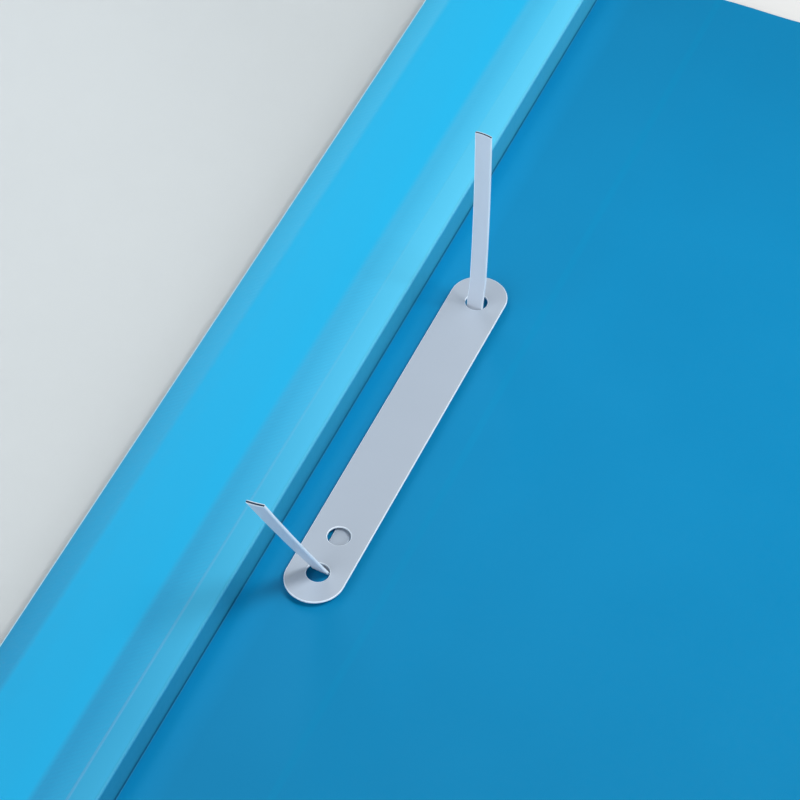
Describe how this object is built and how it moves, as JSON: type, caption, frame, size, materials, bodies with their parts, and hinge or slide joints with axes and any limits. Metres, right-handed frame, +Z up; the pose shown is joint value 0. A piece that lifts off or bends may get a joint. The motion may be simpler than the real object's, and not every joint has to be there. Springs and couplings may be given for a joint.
{
  "type": "two-hole report file",
  "caption": "Open plastic report file with a translucent label spine, a clear front cover and a white steel prong fastener with its compressor bar.",
  "frame": {"origin": "on the underside of the folder, halfway between the two prongs", "axes": "+Y along the spine towards the upright prong, +X across the back cover away from the spine, +Z up"},
  "size_m": [0.454, 0.31, 0.0506],
  "materials": {
    "blue_sheet": "deep blue polypropylene sheet with a fine satin grain",
    "spine_film": "light blue translucent film, satin, with pressed weld seams",
    "clear_film": "clear glossy film",
    "label_paper": "plain white uncoated paper",
    "white_steel": "white plastic-coated steel strip, satin, bare at its cut ends"
  },
  "bodies": {
    "back": {"back_cover": "blue_sheet", "spine_back_flap": "spine_film", "spine_wall": "spine_film", "fastener_base": "white_steel"},
    "front": {"spine_front_panel": "spine_film", "front_cover": "clear_film"},
    "label": {"label_insert": "label_paper"},
    "bar": {"compressor_bar": "white_steel"},
    "upper_prong": {"prong_upper": "white_steel"},
    "lower_prong": {"prong_lower": "white_steel"}
  },
  "joints": [
    {"name": "cover_swing", "type": "hinge", "parent": "back", "child": "front", "pos_m": [-0.01345, 0, 0.0064], "axis": [0, 1, 0], "range_deg": [0, 100]},
    {"name": "label_slide", "type": "slide", "parent": "front", "child": "label", "axis": [0, 1, 0], "range_m": [0, 0.3]},
    {"name": "bar_lift", "type": "slide", "parent": "back", "child": "bar", "axis": [0, 0, 1], "range_m": [0, 0.0022]},
    {"name": "prong_upper_fold", "type": "hinge", "parent": "back", "child": "upper_prong", "pos_m": [0.00007, 0.03923, 0.0053], "axis": [0.9962, -0.0872, 0], "range_deg": [-82.7, 91.1]},
    {"name": "prong_lower_fold", "type": "hinge", "parent": "back", "child": "lower_prong", "pos_m": [-0.00008, -0.04067, 0.0053], "axis": [-0.9962, 0.0872, 0], "range_deg": [-59.4, 115.8]}
  ]
}
